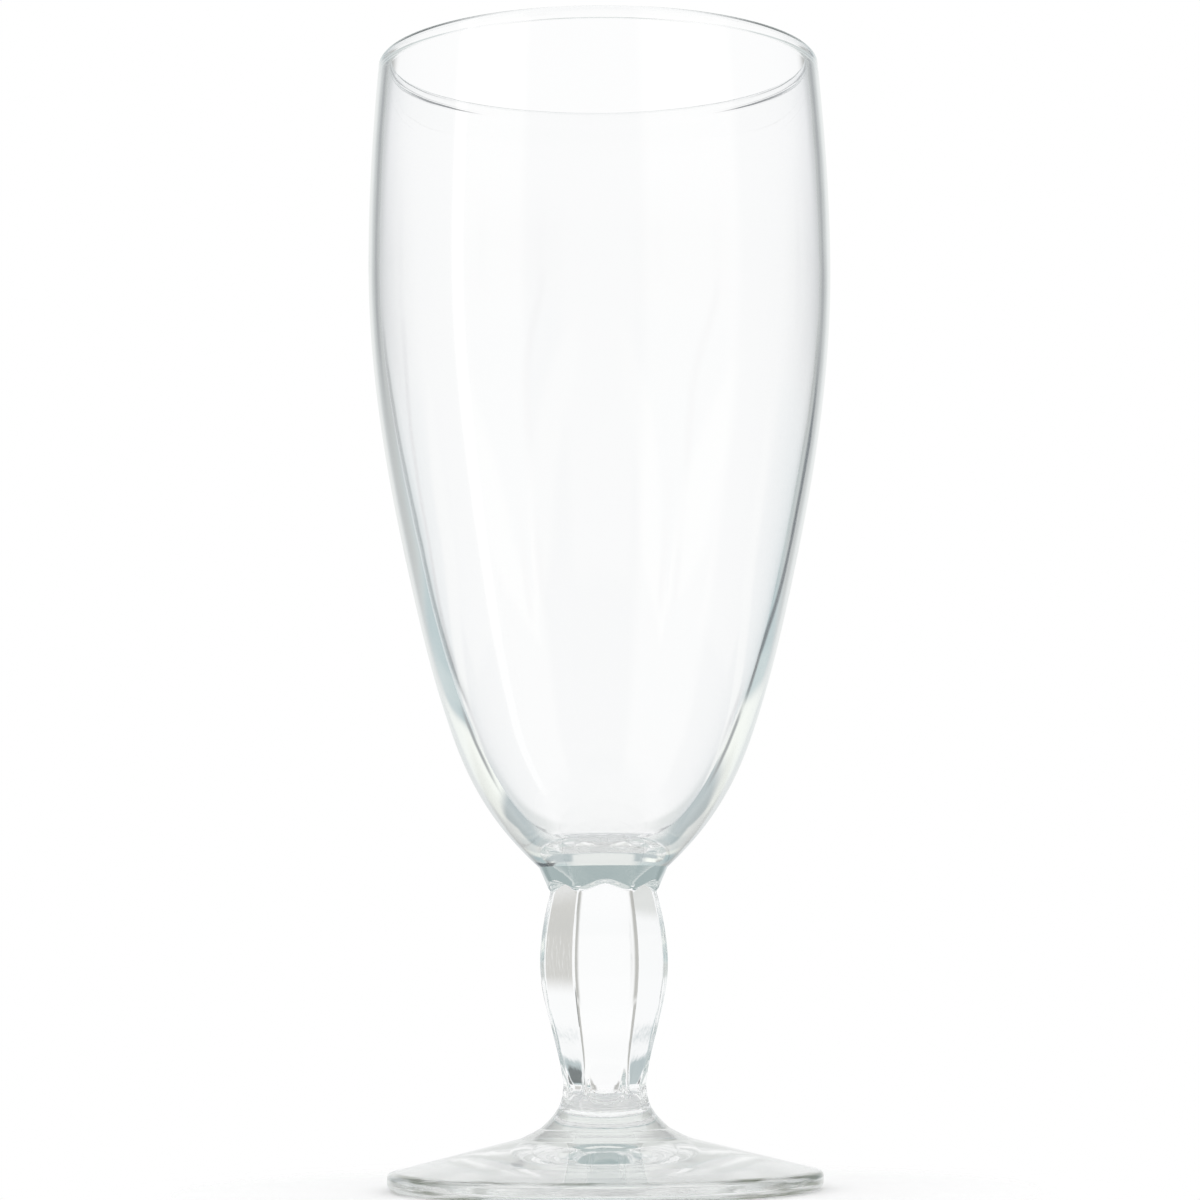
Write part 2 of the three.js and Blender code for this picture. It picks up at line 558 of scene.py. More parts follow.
@dataclass
class Piece:
    """A piece of glass that is turned about the upright axis and stands for one CAD node.

    Attributes:
        node: The CAD node.
        steps: Facets round the axis.
        step: The longest step along a curve of the outline.
        welds: Heights of the flat faces that are welded to another piece.
    """

    node: str
    steps: int
    step: float
    welds: tuple[float, ...]

    def outline(self) -> Outline:
        """The outline that is turned, from axis to axis."""
        raise NotImplementedError

    def shape(self, mesh: bmesh.types.BMesh) -> None:
        """Changes the turned mesh, where the piece isn't round."""

    def turn(self) -> bmesh.types.BMesh:
        """Turns the outline about the axis.

        Returns:
            The closed mesh, with its weld faces marked.
        """
        mesh = bmesh.new()
        ring = [mesh.verts.new((radius, 0, height)) for radius, height in self.outline().points]
        edges = [mesh.edges.new(pair) for pair in zip(ring, ring[1:])]
        bmesh.ops.spin(
            mesh,
            geom=ring + edges,
            cent=(0, 0, 0),
            axis=(0, 0, 1),
            angle=math.tau,
            steps=self.steps,
            use_merge=True,
        )
        bmesh.ops.remove_doubles(mesh, verts=mesh.verts, dist=MERGE_DISTANCE)
        self.shape(mesh)
        bmesh.ops.recalc_face_normals(mesh, faces=mesh.faces)
        for face in mesh.faces:
            face.smooth = True
            heights = [vertex.co.z for vertex in face.verts]
            flat = max(heights) - min(heights) < MERGE_DISTANCE
            if flat and any(abs(heights[0] - weld) < MERGE_DISTANCE for weld in self.welds):
                face.material_index = Skin.WELD
        for edge in mesh.edges:
            edge.smooth = edge.calc_face_angle(0) < SHARP_ANGLE
        return mesh

    def build(self, finish: GlassFinish, weld: bpy.types.Material) -> bpy.types.Object:
        """Builds the piece and dresses it.

        Args:
            finish: The piece's glass.
            weld: The material of the weld faces.

        Returns:
            The finished object, on the frame.
        """
        turned = self.turn()
        data = bpy.data.meshes.new(f"{self.node}_glass")
        turned.to_mesh(data)
        turned.free()
        made = bpy.data.objects.new(f"{self.node}_glass", data)
        bpy.context.scene.collection.objects.link(made)
        data.materials.append(finish.material())
        data.materials.append(weld)
        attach(made, "root")
        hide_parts(self.node)
        LOG.info("%s: %d faces", made.name, len(data.polygons))
        return made


@dataclass
class Foot(Piece):
    """The pressed foot: a hollow inside a resting ring, a round edge, and a cone with a cove at the weld.

    Attributes:
        radius: Radius of the edge.
        height: Height of the weld.
        weld_radius: Radius of the weld.
        edge_thickness: Height of the edge's upper corner.
        edge_round: Radius of that corner.
        ring_round: Radius of the corner under the edge.
        ring_width: Width of the flat ring that the foot rests on.
        hollow_depth: Depth of the hollow inside that ring.
        cove_width: Width of the cove between cone and weld.
        cove_drop: Height of that cove.
        flare_slope: Radius over height where the cove meets the weld.
    """

    node: str = "foot"
    steps: int = 256
    step: float = 0.35 * MM
    radius: float = field(default_factory=lambda: reach_of("foot"))
    height: float = field(default_factory=lambda: top_of("foot"))
    weld_radius: float = 10.4 * MM
    edge_thickness: float = 2.9 * MM
    edge_round: float = 0.8 * MM
    ring_round: float = 1.2 * MM
    ring_width: float = 7.0 * MM
    hollow_depth: float = 1.6 * MM
    cove_width: float = 3.6 * MM
    cove_drop: float = 1.75 * MM
    flare_slope: float = 1.8
    welds: tuple[float, ...] = field(default_factory=lambda: (top_of("foot"),))

    def outline(self) -> Outline:
        """Draws the foot, from the middle of the hollow to the middle of the weld.

        Returns:
            The outline.
        """
        edge_centre = (self.radius - self.edge_round, self.edge_thickness - self.edge_round)
        ring_centre = (self.radius - self.ring_round, self.ring_round)
        hollow = ring_centre[0] - self.ring_width
        weld = (self.weld_radius, self.height)
        cove = (self.weld_radius + self.cove_width, self.height - self.cove_drop)
        cone = (cove[1] - self.edge_thickness) / (edge_centre[0] - cove[0])
        turn = (self.cove_drop - self.cove_width * cone) / (1 / self.flare_slope - cone)
        corner = (self.weld_radius + turn, self.height - turn / self.flare_slope)
        made = Outline(0, self.hollow_depth, self.step)
        made.bezier_to(
            (hollow / 3, self.hollow_depth),
            (2 * hollow / 3, 2 * self.hollow_depth / 3),
            (hollow, 0),
        )
        made.line_to(ring_centre[0], 0)
        made.arc(ring_centre, self.ring_round, DOWNWARD, 0)
        made.line_to(self.radius, edge_centre[1])
        made.arc(edge_centre, self.edge_round, 0, UPWARD - math.atan(cone))
        made.run_to(cove)
        made.round_to(corner, weld)
        made.line_to(0, self.height)
        return made


@dataclass
class Stem(Piece):
    """The pressed stem: a baluster with six flat panels that arch into a conical collar.

    Attributes:
        fine_step: The longest step along the flare and the collar.
        base: Height of the lower weld.
        top: Height of the upper weld.
        weld_radius: Radius of both welds.
        weld_slope: Radius over height where the flare leaves the lower weld.
        waist_radius: Radius of the waist above the flare.
        waist_height: Its height above the lower weld.
        waist_slope: Radius over height there.
        baluster_radius: Radius of the widest part.
        baluster_height: Its height above the lower weld.
        neck_radius: Radius of the neck under the collar.
        neck_slope: Radius over height there.
        collar_height: How tall the collar is.
        panels: How many panels there are.
        panel_turn: How far the first one is turned from the front.
        side_spread: Half the angle that a panel takes up on the round stem.
        front_spread: The same at the front and the back, where the panels stand further out.
        rib_round: How near to a rib its rounding begins.
        scoop_depth: How deep the scoop at the lower end of a panel is.
        scoop_height: How tall it is.
        scoop_end: Height of its lower end above the lower weld.
        scoop_rise: How much higher that end is at the ribs.
        scoop_ledge: Height over which it ends.
        arch_spring: Height of the ends of an arch above the neck.
        arch_rise: How much higher its middle is.
        arch_ledge: Height over which a panel goes over into the collar.
        runout_drop: How far below the waist the panels run out.
    """

    node: str = "stem"
    steps: int = 360
    step: float = 0.4 * MM
    fine_step: float = 0.1 * MM
    base: float = field(default_factory=lambda: foot_of("stem"))
    top: float = field(default_factory=lambda: top_of("stem"))
    weld_radius: float = 10.4 * MM
    weld_slope: float = -1.25
    waist_radius: float = 6.75 * MM
    waist_height: float = 7.3 * MM
    waist_slope: float = 0.12
    baluster_radius: float = 10.4 * MM
    baluster_height: float = 26.3 * MM
    neck_radius: float = 8.65 * MM
    neck_slope: float = -0.27
    collar_height: float = 4.0 * MM
    panels: int = 6
    panel_turn: float = math.radians(2.2)
    side_spread: float = math.radians(30.4)
    front_spread: float = math.radians(25.6)
    rib_round: float = 0.25 * MM
    scoop_depth: float = 1.25 * MM
    scoop_height: float = 8.2 * MM
    scoop_end: float = 4.3 * MM
    scoop_rise: float = 0.8 * MM
    scoop_ledge: float = 0.3 * MM
    arch_spring: float = 0.6 * MM
    arch_rise: float = 1.3 * MM
    arch_ledge: float = 0.7 * MM
    runout_drop: float = 4.2 * MM
    welds: tuple[float, ...] = field(default_factory=lambda: (foot_of("stem"), top_of("stem")))

    def stations(self, share: float) -> list[Station]:
        """Places the waist, the baluster and the neck.

        Args:
            share: What every radius is multiplied by.

        Returns:
            The three stations, from the lowest up.
        """
        return [
            Station(share * self.waist_radius, self.base + self.waist_height, share * self.waist_slope),
            Station(share * self.baluster_radius, self.base + self.baluster_height),
            Station(share * self.neck_radius, self.top - self.collar_height, share * self.neck_slope),
        ]

    def outline(self) -> Outline:
        """Draws the round stem, before the panels are pressed.

        Returns:
            The outline.
        """
        waist, baluster, neck = self.stations(1)
        collar_slope = (self.weld_radius - self.neck_radius) / self.collar_height
        made = Outline(0, self.base, self.step)
        made.line_to(self.weld_radius, self.base)
        made.step = self.fine_step
        made.sweep_to(self.weld_slope, waist)
        made.step = self.step
        made.sweep_to(waist.slope, baluster)
        made.sweep_to(baluster.slope, neck)
        made.step = self.fine_step
        made.sweep_to(collar_slope, Station(self.weld_radius, self.top, collar_slope))
        made.line_to(0, self.top)
        return made

    def panel_outline(self) -> Outline:
        """Draws the middle line of a panel, which runs out on the flare and rises into the collar.

        Returns:
            The line, from its lower end up.
        """
        waist, baluster, neck = self.stations(math.cos(self.side_spread))
        runout = self.base + self.waist_height - self.runout_drop
        flare = Outline(self.weld_radius, self.base, self.step)
        flare.sweep_to(self.weld_slope, self.stations(1)[0])
        runout_radius = min(flare.points, key=lambda point: abs(point[1] - runout))[0]
        made = Outline(runout_radius, runout, self.step)
        made.sweep_to((waist.radius - runout_radius) / self.runout_drop, waist)
        made.sweep_to(waist.slope, baluster)
        made.sweep_to(baluster.slope, neck)
        made.line_to(neck.radius + neck.slope * self.collar_height, self.top)
        return made

    def scooped(self, height: float, share: float) -> float:
        """How deep the scoop at the lower end of a panel is, as a share of its depth.

        Args:
            height: The height on the panel.
            share: The distance from the panel's middle line, which is 1 on a rib.

        Returns:
            The share, from 0 to 1.
        """
        tail = self.base + self.scoop_end + self.scoop_rise * share**2
        hollow = clamp(1 - (height - tail) / self.scoop_height) ** 2
        return hollow * clamp((height - tail) / self.scoop_ledge + 1) * (1 - share**4)

    def arched(self, height: float, share: float) -> float:
        """How far a panel has gone over into the round collar.

        Args:
            height: The height on the panel.
            share: The distance from the panel's middle line, which is 1 on a rib.

        Returns:
            The share, from 0 on the panel to 1 above its arch.
        """
        arch = self.top - self.collar_height + self.arch_spring
        arch += self.arch_rise * (1 + math.cos(math.pi * share)) / 2
        climb = clamp((height - arch) / self.arch_ledge + 1)
        return climb * climb * (3 - 2 * climb)

    def shape(self, mesh: bmesh.types.BMesh) -> None:
        """Presses the panels: each vertex is drawn in to the panel that it faces.

        Args:
            mesh: The round stem.
        """
        line = self.panel_outline().points
        heights = [point[1] for point in line]
        pitch = math.tau / self.panels
        proud = math.cos(self.front_spread) / math.cos(self.side_spread)
        for vertex in mesh.verts:
            radius = vertex.co.xy.length
            height = vertex.co.z
            if radius < MERGE_DISTANCE or not heights[0] < height < heights[-1]:
                continue
            upper = bisect_left(heights, height)
            (r0, z0), (r1, z1) = line[upper - 1], line[upper]
            depth = r0 + (r1 - r0) * (height - z0) / (z1 - z0)
            angle = math.atan2(vertex.co.y, vertex.co.x) - FRONT - self.panel_turn
            panel = round(angle / pitch)
            off = angle - panel * pitch
            share = abs(off) / (pitch / 2)
            if panel % (self.panels // 2) == 0:
                depth *= proud
            flat = depth / math.cos(off) - self.scoop_depth * self.scooped(height, share)
            near = max(self.rib_round - abs(radius - flat), 0) / self.rib_round
            pressed = min(radius, flat) - near * near * self.rib_round / 4
            vertex.co.xy *= (pressed + (radius - pressed) * self.arched(height, share)) / radius


@dataclass
class Bowl(Piece):
    """The blown bowl: a slim tulip wall that thins towards a fire-polished rim, on a thick base.

    Attributes:
        fine_step: The longest step along the rim.
        base: Height of the weld.
        top: Height of the rim.
        weld_radius: Radius of the weld.
        weld_slope: Radius over height where the wall leaves the weld.
        shoulder: The outside above the base, with its height above the weld.
        flank: The outside below the belly, with its height above the weld.
        belly_radius: Radius of the widest part.
        belly_height: Its height above the weld.
        rim_radius: Outer radius of the rim.
        rim_slope: Radius over height under the rim.
        rim_wall: Thickness of the bead at the rim.
        bead_proud: How far the bead stands out on each side.
        bead_height: How tall it is.
        bead_blend: Height over which it goes over into the wall.
        belly_wall: Thickness of the wall at the belly.
        flank_wall: Thickness of the wall at the flank.
        shoulder_wall: Thickness of the wall at the shoulder.
        inner_shoulder_slope: Radius over height inside the shoulder.
        floor_radius: Radius of the flat floor inside.
        floor_thickness: Thickness of the glass under that floor.
        corner_wall_ease: How far the round of the floor reaches up the wall, as a share.
        corner_floor_ease: How far it reaches across the floor, as a share.
    """

    node: str = "bowl"
    steps: int = 224
    step: float = 0.9 * MM
    fine_step: float = 0.15 * MM
    base: float = field(default_factory=lambda: foot_of("bowl"))
    top: float = field(default_factory=lambda: top_of("bowl"))
    weld_radius: float = 10.4 * MM
    weld_slope: float = 1.1
    shoulder: Station = Station(24.0 * MM, 20.5 * MM, 0.36)
    flank: Station = Station(32.15 * MM, 51.3 * MM, 0.215)
    belly_radius: float = field(default_factory=lambda: reach_of("bowl"))
    belly_height: float = 98.6 * MM
    rim_radius: float = 36.25 * MM
    rim_slope: float = -0.09
    rim_wall: float = 1.9 * MM
    bead_proud: float = 0.1 * MM
    bead_height: float = 1.6 * MM
    bead_blend: float = 0.6 * MM
    belly_wall: float = 1.8 * MM
    flank_wall: float = 2.5 * MM
    shoulder_wall: float = 3.5 * MM
    inner_shoulder_slope: float = 0.45
    floor_radius: float = 6.0 * MM
    floor_thickness: float = 4.0 * MM
    corner_wall_ease: float = 0.55
    corner_floor_ease: float = 0.31
    welds: tuple[float, ...] = field(default_factory=lambda: (foot_of("bowl"),))

    def wall(self, shoulder: float, shoulder_slope: float, flank: float, belly: float) -> list[Station]:
        """Places shoulder, flank and belly, each drawn in by the wall there.

        Args:
            shoulder: The wall at the shoulder.
            shoulder_slope: Radius over height at the shoulder.
            flank: The wall at the flank.
            belly: The wall at the belly.

        Returns:
            The three stations, from the lowest up.
        """
        return [
            Station(self.shoulder.radius - shoulder, self.base + self.shoulder.height, shoulder_slope),
            Station(self.flank.radius - flank, self.base + self.flank.height, self.flank.slope),
            Station(self.belly_radius - belly, self.base + self.belly_height),
        ]

    def outline(self) -> Outline:
        """Draws the bowl, up the outside, over the rim and down to the floor inside.

        Returns:
            The outline.
        """
        rim_round = self.rim_wall / 2
        rim_middle = self.rim_radius - rim_round
        bead = self.top - self.bead_height
        neck = bead - self.bead_blend
        lean = self.rim_slope * (neck - self.top)
        outer_neck = Station(self.rim_radius - self.bead_proud + lean, neck, self.rim_slope)
        inner_neck = self.rim_radius - self.rim_wall + self.bead_proud + lean
        shoulder, flank, belly = self.wall(0, self.shoulder.slope, 0, 0)
        inner_shoulder, inner_flank, inner_belly = self.wall(
            self.shoulder_wall, self.inner_shoulder_slope, self.flank_wall, self.belly_wall
        )
        floor = self.base + self.floor_thickness
        wall_ease = self.corner_wall_ease * (self.shoulder.height - self.floor_thickness)
        floor_ease = self.corner_floor_ease * (inner_shoulder.radius - self.floor_radius)
        made = Outline(0, self.base, self.step)
        made.line_to(self.weld_radius, self.base)
        made.sweep_to(self.weld_slope, shoulder)
        made.sweep_to(shoulder.slope, flank)
        made.sweep_to(flank.slope, belly)
        made.sweep_to(belly.slope, outer_neck)
        made.step = self.fine_step
        made.sweep_to(self.rim_slope, Station(self.rim_radius, bead))
        made.line_to(self.rim_radius, self.top - rim_round)
        made.arc((rim_middle, self.top - rim_round), rim_round, 0, math.pi)
        made.line_to(rim_middle - rim_round, bead)
        made.sweep_to(0, Station(inner_neck, neck, self.rim_slope))
        made.step = self.step
        made.sweep_to(self.rim_slope, inner_belly)
        made.sweep_to(inner_belly.slope, inner_flank)
        made.sweep_to(inner_flank.slope, inner_shoulder)
        made.bezier_to(
            (inner_shoulder.radius - inner_shoulder.slope * wall_ease, inner_shoulder.height - wall_ease),
            (self.floor_radius + floor_ease, floor),
            (self.floor_radius, floor),
        )
        made.run_to((0, floor))
        return made


class Side(Enum):
    """The side of the object that a softbox stands on."""

    LEFT = -1
    RIGHT = 1


@dataclass(frozen=True)
class Softbox:
    """A tall soft lamp beside the camera, which lights the floor. The surroundings show it to the glass.

    Attributes:
        side: The side that it stands on.
        inner: The angle of its inner edge from the camera's direction, in degrees.
        outer: The angle of its outer edge.
        distance: Distance from the object's axis.
        low: Height of its lower edge.
        height: How tall it is.
        radiance: Brightness of its face.
    """

    side: Side
    inner: float
    outer: float
    distance: float = 1.0
    low: float = -0.9
    height: float = 1.9
    radiance: float = 1.3

    def build(self) -> bpy.types.Object:
        """Builds the lamp, aimed level at the axis.

        Returns:
            The lamp's object.
        """
        half = math.radians(self.outer - self.inner) / 2
        width = 2 * self.distance * math.tan(half)
        turn = self.side.value * math.radians(self.outer + self.inner) / 2
        lamp = bpy.data.lights.new(f"{self.side.name.lower()}_softbox", "AREA")
        lamp.shape = "RECTANGLE"
        lamp.size = width
        lamp.size_y = self.height
        lamp.energy = self.radiance * math.pi * width * self.height
        made = bpy.data.objects.new(lamp.name, lamp)
        bpy.context.scene.collection.objects.link(made)
        back = Vector((math.sin(turn), -math.cos(turn), 0))
        made.matrix_world = Matrix.Translation(
            back * self.distance + Vector((0, 0, self.low + self.height / 2))
        ) @ back.to_track_quat("Z", "Y").to_matrix().to_4x4()
        made.visible_camera = False
        made.visible_glossy = False
        made.visible_transmission = False
        return made


class Sight:
    """The direction that light comes from, measured in several ways, in degrees.

    Attributes:
        FALL: How far the line of slant falls for each degree.
        SKEW: How much less it falls on the right.
        LEAN: How large the lean becomes.
        LEAN_UP: Where it grows.
        RISE: How large the rise of loft becomes.
        RISE_ASIDE: Where it begins.
        graph: The world's graph.
        up: Above the horizon.
        across: Round the object, from straight behind it, positive on the right.
        aside: The same, alike on both sides.
        half: From the nearer of back and front, so that it repeats each half turn.
        turn: From the nearest of the four sides, so that it repeats each quarter turn.
        fold: The same, alike on both sides.
        slant: Above a line that falls away from the middle of each of the four sides.
        lean: As fold, less a lean that grows under the horizon.
        loft: As up, less a rise that begins beside the backdrop.
    """

    FALL = 0.45
    SKEW = 0.05
    LEAN = 11
    LEAN_UP = Span(end=-3, soft=6)
    RISE = 11
    RISE_ASIDE = Span(42, soft=4)

    def __init__(self, graph: Graph) -> None:
        """Measures the direction.

        Args:
            graph: The world's graph.
        """
        way = graph.node("ShaderNodeTexCoord").outputs["Generated"]
        axes = graph.node("ShaderNodeSeparateXYZ", inputs={0: way})
        x, y, z = (graph.value(axes, axis) for axis in "XYZ")
        self.graph = graph
        self.up = graph.maths("ARCSINE", z) * math.degrees(1)
        self.across = graph.maths("ARCTAN2", x, y) * math.degrees(1)
        self.aside = graph.maths("ABSOLUTE", self.across)
        self.half = graph.maths("WRAP", self.across, QUARTER_TURN, -QUARTER_TURN)
        self.turn = graph.maths("WRAP", self.across, QUARTER_TURN / 2, -QUARTER_TURN / 2)
        self.fold = graph.maths("PINGPONG", self.across, QUARTER_TURN / 2)
        self.slant = self.up + self.FALL * self.fold - self.SKEW * self.turn
        self.lean = self.fold - self.LEAN * graph.band(self.up, self.LEAN_UP)
        self.loft = self.up - self.RISE * graph.band(self.aside, self.RISE_ASIDE)


@dataclass(frozen=True)
class Patch:
    """A patch of the studio in one shade, with soft edges.

    Attributes:
        shade: Its colour.
        up, across, aside, half, turn, fold, slant, lean, loft: Its limits, as a sight measures them.
    """

    shade: Colour
    up: Optional[Span] = None
    across: Optional[Span] = None
    aside: Optional[Span] = None
    half: Optional[Span] = None
    turn: Optional[Span] = None
    fold: Optional[Span] = None
    slant: Optional[Span] = None
    lean: Optional[Span] = None
    loft: Optional[Span] = None

    def over(self, sight: Sight, ground: Any, *masks: Value) -> bpy.types.NodeSocket:
        """Lays the patch over a colour.

        Args:
            sight: The direction of the light.
            ground: The colour or its socket.
            masks: Further masks that limit the patch.

        Returns:
            The new colour's socket.
        """
        shares = list(masks)
        for measure in fields(self):
            limits = getattr(self, measure.name)
            if isinstance(limits, Span):
                shares.append(sight.graph.band(getattr(sight, measure.name), limits))
        return sight.graph.mix(math.prod(shares[1:], start=shares[0]), ground, self.shade)


@dataclass(frozen=True)
class View:
    """What one way through the glass shows of the studio: a ground, and patches laid on it in their order.

    Attributes:
        ground: The colour where no patch lies.
    """

    ground: Colour = WHITE

    def colour(self, sight: Sight, **masks: Value) -> bpy.types.NodeSocket:
        """Lays all patches on the ground.

        Args:
            sight: The direction of the light.
            masks: A further mask for a patch, by the patch's name.

        Returns:
            The colour's socket.
        """
        shown: Any = self.ground
        for part in fields(self):
            patch = getattr(self, part.name)
            if isinstance(patch, Patch):
                extra = [masks[part.name]] if part.name in masks else []
                shown = patch.over(sight, shown, *extra)
        return shown


@dataclass(frozen=True)
class SolidView(View):
    """What shows straight through stem and foot, which turn it upside down.

    Attributes:
        rib: Panels beside the backdrop, which draw the ribs of the stem.
        rib_upper: Their lower part, which draws the upper part of a rib.
        rib_lower: Their upper part, which draws the lower part of a rib.
        rib_join: What joins the rib to its lower part.
        speck: A worn stretch of a panel.
        blotch: A shaded patch low on a panel.
        haze: The edge of the ceiling.
        roof: The dark ceiling.
    """

    rib: Patch = Patch(RIB, fold=Span(7, 18, 4), up=Span(-22, 11, 1.5))
    rib_upper: Patch = Patch((0.42, 0.42, 0.40, 1), fold=Span(12, 27, 4), up=Span(-22, -11, 2))
    rib_lower: Patch = Patch((0.18, 0.19, 0.19, 1), fold=Span(19, 33, 2), up=Span(9, 18, 1.5))
    rib_join: Patch = Patch(RIB, fold=Span(9.5, 21, 1.5), up=Span(11.5, 16, 0.7))
    speck: Patch = Patch((0.62, 0.61, 0.58, 1), half=Span(38.4, 43.5, 1.2), up=Span(-18, 8, 4))
    blotch: Patch = Patch((0.74, 0.75, 0.73, 1), half=Span(-46, -34, 2), up=Span(-24, -13, 2))
    haze: Patch = Patch((0.48, 0.55, 0.56, 1), fold=Span(35, soft=2), up=Span(18.1, soft=0.9))
    roof: Patch = Patch((0.10, 0.12, 0.12, 1), half=Span(35, 55, 2), up=Span(20.05, soft=0.75))


@dataclass(frozen=True)
class HollowView(View):
    """What shows straight through both walls of the bowl.

    Attributes:
        upper: The shaded upper part of the panels.
        lower: The table, as the base of the bowl shows it.
        roof: The dark ceiling, as the bead of the rim shows it.
        table: The dark table, as the bead of the rim shows it.
        past: The black edge of the table, which light meets only past the floor.
        near: The shade beside the black edge of a panel.
        line: That black edge.
    """

    upper: Patch = Patch((0.84, 0.84, 0.85, 1), fold=Span(12.5, soft=4.5), up=Span(6.5, soft=2.5))
    lower: Patch = Patch((0.78, 0.80, 0.79, 1), fold=Span(9, 26, 5), up=Span(-38, -12, 3))
    roof: Patch = Patch(DARK, fold=Span(3.25, soft=1.25), up=Span(18, soft=2))
    table: Patch = Patch(DARK, fold=Span(15, 30, 2), up=Span(end=-29.5, soft=1.5))
    past: Patch = Patch(BLACK, fold=Span(6, 20, 2), up=Span(-32, -12, 1))
    near: Patch = Patch((0.86, 0.88, 0.88, 1), turn=Span(-30, -17, 2), up=Span(-6, 7, 2))
    line: Patch = Patch(BLACK, turn=Span(-27, -20.5, 1.2), up=Span(-6, 7, 2))


@dataclass(frozen=True)
class CaughtView(View):
    """What shows by light that is turned back once inside the glass.

    Attributes:
        side: The upper part of the panels.
        teal: Their middle.
        streak: The bright lower border.
        low: The shade under that border.
        deep: The table.
        high: The soft edge of a panel.
        flag: The black edge of a panel.
        heel: The lower end of that edge.
        flank: The white flanks of the studio.
        low_fold: Where the low shade begins beside the backdrop.
        low_up: Where it begins on the table.
    """

    ground: Colour = (0.82, 0.84, 0.82, 1)
    side: Patch = Patch((0.60, 0.62, 0.60, 1), fold=Span(19, soft=5), up=Span(-0.5, soft=2.5))
    teal: Patch = Patch(
        (0.50, 0.60, 0.61, 1), fold=Span(19, soft=5), up=Span(end=-0.5, soft=2.5), slant=Span(2.25, soft=1.5)
    )
    streak: Patch = Patch((1.00, 1.03, 0.97, 1), fold=Span(11, soft=3), slant=Span(-4.25, 2.25, 1.5))
    low: Patch = Patch((0.48, 0.54, 0.55, 1), slant=Span(end=-4.75, soft=1.5))
    deep: Patch = Patch((0.55, 0.60, 0.60, 1), up=Span(end=-35, soft=5))
    high: Patch = Patch((0.42, 0.43, 0.43, 1), lean=Span(26.8, 31.2, 1.6), up=Span(4, 25, 3))
    flag: Patch = Patch(
        (0.10, 0.11, 0.12, 1), lean=Span(26.8, 31.2, 1.6), up=Span(-13, 4, 2), turn=Span(0, soft=5)
    )
    heel: Patch = Patch((0.35, 0.36, 0.36, 1), lean=Span(26.8, 31.2, 1.6), up=Span(-22, -15, 2))
    flank: Patch = Patch(WHITE, aside=Span(42, soft=4), up=Span(13, 50, 3))
    low_fold: Span = Span(18, soft=2)
    low_up: Span = Span(end=-20, soft=2)

    def colour(self, sight: Sight, **masks: Value) -> bpy.types.NodeSocket:
        """Lays all patches on the ground, and the low shade only beside the backdrop and on the table.

        Args:
            sight: The direction of the light.
            masks: A further mask for a patch, by the patch's name.

        Returns:
            The colour's socket.
        """
        beside = sight.graph.band(sight.fold, self.low_fold)
        below = sight.graph.band(sight.up, self.low_up)
        return super().colour(sight, low=sight.graph.maths("MAXIMUM", beside, below), **masks)


@dataclass(frozen=True)
class VeiledView(View):
    """What shows by light that is turned back in the wall of the bowl more than once.

    Attributes:
        table: The dark table.
    """

    ground: Colour = (0.78, 0.79, 0.81, 1)
    table: Patch = Patch(DARK, aside=Span(end=87.5, soft=7.5), up=Span(end=-21, soft=3))


@dataclass(frozen=True)
class InnerView(View):
    """What the inside of the bowl mirrors.

    Attributes:
        flank: The white flanks of the table.
        table: The dark table behind the object.
    """

    ground: Colour = (0.66, 0.70, 0.71, 1)
    flank: Patch = Patch(WHITE, aside=Span(44.5, soft=1.5), up=Span(-46, -24, 3))
    table: Patch = Patch(DARK, aside=Span(end=43.5, soft=1.5), up=Span(-49.5, -39.5, 1.5))


@dataclass(frozen=True)
class MirroredView(View):
    """What the outer surface mirrors, on the room behind the camera as its ground.

    Attributes:
        left_lamp: The left softbox.
        right_lamp: The right softbox.
        bright: The bright outer edge of the left one.
        behind: The backdrop, near the limb of the glass.
        roof: The dark ceiling, in the rim.
        edge: The panels' dark edges, in the limb.
        table: The dark table, in the limb.
    """

    ground: Colour = (0.68, 0.72, 0.76, 1)
    left_lamp: Patch = Patch(LAMP, across=Span(-143, -103, 3), up=Span(-50, 60, 12))
    right_lamp: Patch = Patch(LAMP, across=Span(108, 158, 4), up=Span(-50, 60, 12))
    bright: Patch = Patch((2.0, 2.0, 2.0, 1), across=Span(-110, -103, 0.8), up=Span(-50, 60, 12))
    behind: Patch = Patch((0.89, 0.90, 0.90, 1), aside=Span(end=20, soft=10), up=Span(-5, soft=5))
    roof: Patch = Patch(
        (0.10, 0.10, 0.11, 1), aside=Span(10.25, 60.5, 1.25, end_soft=2.5), up=Span(24, 48, 3)
    )
    edge: Patch = Patch((0.30, 0.33, 0.38, 1), aside=Span(26, 46, 6), up=Span(-2, 20, 3))
    table: Patch = Patch((0.06, 0.07, 0.09, 1), aside=Span(15, 50, 6), up=Span(end=-13, soft=3))


@dataclass(frozen=True)
class WornView(View):
    """What shows by light that was turned back so often that it comes from everywhere.

    Attributes:
        roof: The ceiling beside the backdrop, which the collar of the stem shows.
    """

    ground: Colour = (0.68, 0.72, 0.71, 1)
    roof: Patch = Patch(CEILING, aside=Span(26, 70, 3), up=Span(24, 52, 2))


